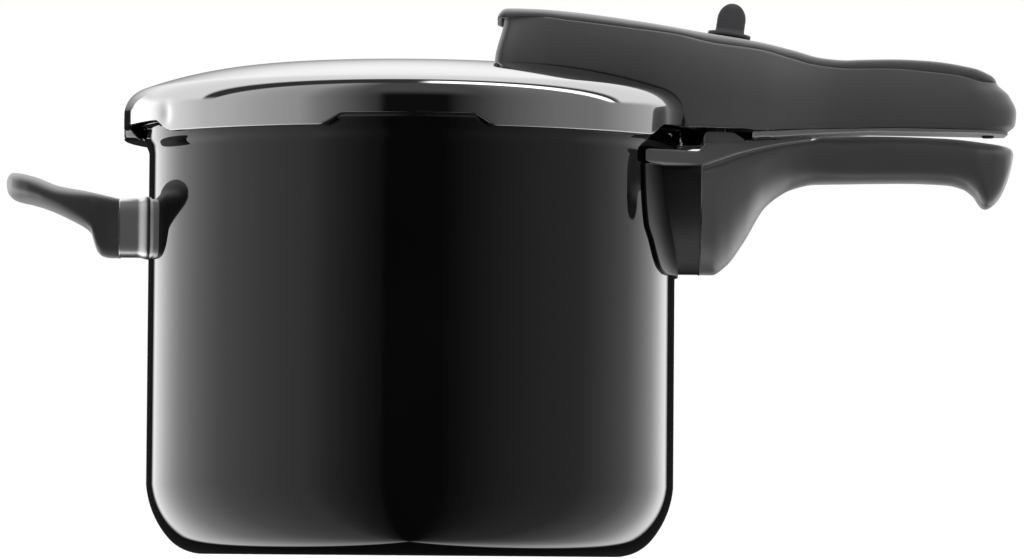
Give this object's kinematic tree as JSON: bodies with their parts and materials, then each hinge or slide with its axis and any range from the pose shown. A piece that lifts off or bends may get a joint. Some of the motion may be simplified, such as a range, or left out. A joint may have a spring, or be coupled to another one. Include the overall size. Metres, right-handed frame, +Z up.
{
  "type": "stovetop pressure cooker",
  "caption": "Stovetop pressure cooker: enamelled pot with a bayonet lid, long and side handles, a pressure selector, an indicator and valves in the lid handle.",
  "frame": {"origin": "centre of the flat base, on the pot's axis, at the surface it stands on", "axes": "+Z up the pot's axis, +X along the long handles, away from the pot"},
  "size_m": [0.4319, 0.2468, 0.2374],
  "materials": {
    "enamel_pot": "glossy black enamel",
    "polished_steel": "mirror polished",
    "polished_lid": "mirror polished",
    "dark_steel": "dark satin",
    "bracket_steel": "rolled",
    "fastener_steel": "plated",
    "valve_steel": "turned",
    "spring_steel": "drawn wire",
    "brass_pin": "turned",
    "grip_plastic": "satin dark grey",
    "smooth_plastic": "smooth satin dark grey",
    "grained_plastic": "fine grained dark grey",
    "base_plastic": "smooth grey",
    "bush_plastic": "black",
    "knob_plastic": "satin dark grey",
    "silicone": "soft matte",
    "rubber_nub": "matte"
  },
  "bodies": {
    "pot": {"pot_body": "enamel_pot", "side_handle_bracket": "polished_steel", "side_handle_grip": "grip_plastic", "side_handle_screw": "fastener_steel", "flame_guard": "dark_steel", "long_handle_bracket": "bracket_steel", "long_handle_shell": "smooth_plastic", "long_handle_top": "grained_plastic", "long_handle_screw": "fastener_steel"},
    "lid": {"lid_shell": "polished_lid", "sealing_ring": "silicone", "lid_handle_body": "grained_plastic", "lid_handle_base": "base_plastic", "lid_handle_cover": "grained_plastic", "lid_handle_rails": "bracket_steel", "lid_handle_screws": "fastener_steel", "handle_bumper": "rubber_nub", "valve_housing": "valve_steel", "valve_gasket": "silicone", "valve_nut": "valve_steel", "valve_cap": "valve_steel", "valve_spring": "spring_steel", "safety_valve_body": "valve_steel", "safety_nut": "valve_steel", "safety_cap": "valve_steel", "safety_spring": "spring_steel", "indicator_seat": "silicone", "selector_bush": "bush_plastic", "lock_spring": "spring_steel"},
    "main_valve": {"valve_piston": "valve_steel"},
    "safety_valve": {"safety_plunger": "brass_pin"},
    "indicator": {"indicator_stem": "valve_steel", "indicator_cap": "grained_plastic"},
    "selector": {"selector_knob": "knob_plastic", "selector_shaft": "base_plastic"},
    "lock": {"lock_bolt": "bracket_steel"}
  },
  "joints": [
    {"name": "lid_turn", "type": "hinge", "parent": "pot", "child": "lid", "pos_m": [0, 0, 0.18], "axis": [0, 0, 1], "range_deg": [0, 36]},
    {"name": "selector_turn", "type": "hinge", "parent": "lid", "child": "selector", "pos_m": [0.135, 0, 0.2218], "axis": [0.1392, 0, 0.9903], "range_deg": [0, 90]},
    {"name": "lock_drop", "type": "slide", "parent": "lid", "child": "lock", "axis": [0, 0, -1], "range_m": [0, 0.004], "deforming": ["lock_spring"]},
    {"name": "indicator_rise", "type": "slide", "parent": "lid", "child": "indicator", "axis": [0.1239, 0, 0.9923], "range_m": [0, 0.004]},
    {"name": "valve_lift", "type": "slide", "parent": "lid", "child": "main_valve", "axis": [0.0667, 0, 0.9978], "range_m": [0, 0.002], "stiffness_N_per_m": 1500, "springref_m": -0.004, "deforming": ["valve_spring"]},
    {"name": "safety_lift", "type": "slide", "parent": "lid", "child": "safety_valve", "axis": [0.0715, 0.029, 0.997], "range_m": [0, 0.0015], "stiffness_N_per_m": 1500, "springref_m": -0.004, "deforming": ["safety_spring"]}
  ],
  "couplings": [
    {"joint": "selector_turn", "follows": "lock_drop", "rad_per_m": 392.7}
  ]
}
